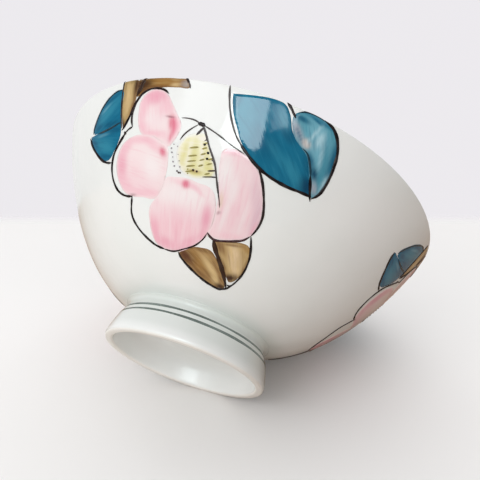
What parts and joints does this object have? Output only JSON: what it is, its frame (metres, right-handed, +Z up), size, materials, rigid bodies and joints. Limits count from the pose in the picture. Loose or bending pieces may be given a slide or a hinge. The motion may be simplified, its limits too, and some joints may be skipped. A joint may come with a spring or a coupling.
{
  "type": "rice bowl",
  "caption": "Small porcelain rice bowl with a flared foot ring, fine underglaze lines on the foot, and raised hand-painted camellia sprays round the outside.",
  "frame": {"origin": "centre of the foot ring's flat resting face", "axes": "+Z up along the axis of the turned bowl, out of its mouth; the front camellia spray faces -Y; +X to its right"},
  "size_m": [0.115, 0.1153, 0.055],
  "materials": {
    "porcelain": "clear glossy glaze over white porcelain",
    "foot_line": "grey-green underglaze line, glossy",
    "pink_enamel": "streaky translucent pink overglaze enamel, glossy",
    "teal_enamel": "streaky teal overglaze enamel, glossy",
    "brown_enamel": "streaky olive brown overglaze enamel, glossy",
    "yellow_enamel": "pale yellow overglaze enamel, glossy",
    "outline_enamel": "dark brown brush line, glossy"
  },
  "bodies": {
    "root": {"bowl_wall": "porcelain", "foot_ring": "porcelain", "foot_line_upper": "foot_line", "foot_line_lower": "foot_line", "front_top_petal": "pink_enamel", "front_left_petal": "pink_enamel", "front_lower_petal": "pink_enamel", "front_right_petal": "pink_enamel", "front_stamens": "yellow_enamel", "front_big_leaf_left": "teal_enamel", "front_big_leaf_right": "teal_enamel", "front_small_leaf_upper": "teal_enamel", "front_small_leaf_lower": "teal_enamel", "front_top_sepal": "brown_enamel", "front_bud": "brown_enamel", "front_lower_sepal_left": "brown_enamel", "front_lower_sepal_right": "brown_enamel", "right_top_petal": "pink_enamel", "right_left_petal": "pink_enamel", "right_lower_petal": "pink_enamel", "right_right_petal": "pink_enamel", "right_stamens": "yellow_enamel", "right_big_leaf_left": "teal_enamel", "right_big_leaf_right": "teal_enamel", "right_small_leaf_upper": "teal_enamel", "right_small_leaf_lower": "teal_enamel", "right_top_sepal": "brown_enamel", "right_bud": "brown_enamel", "right_lower_sepal_left": "brown_enamel", "right_lower_sepal_right": "brown_enamel", "left_top_petal": "pink_enamel", "left_left_petal": "pink_enamel", "left_lower_petal": "pink_enamel", "left_right_petal": "pink_enamel", "left_stamens": "yellow_enamel", "left_big_leaf_left": "teal_enamel", "left_big_leaf_right": "teal_enamel", "left_small_leaf_upper": "teal_enamel", "left_small_leaf_lower": "teal_enamel", "left_top_sepal": "brown_enamel", "left_bud": "brown_enamel", "left_lower_sepal_left": "brown_enamel", "left_lower_sepal_right": "brown_enamel"}
  },
  "joints": []
}
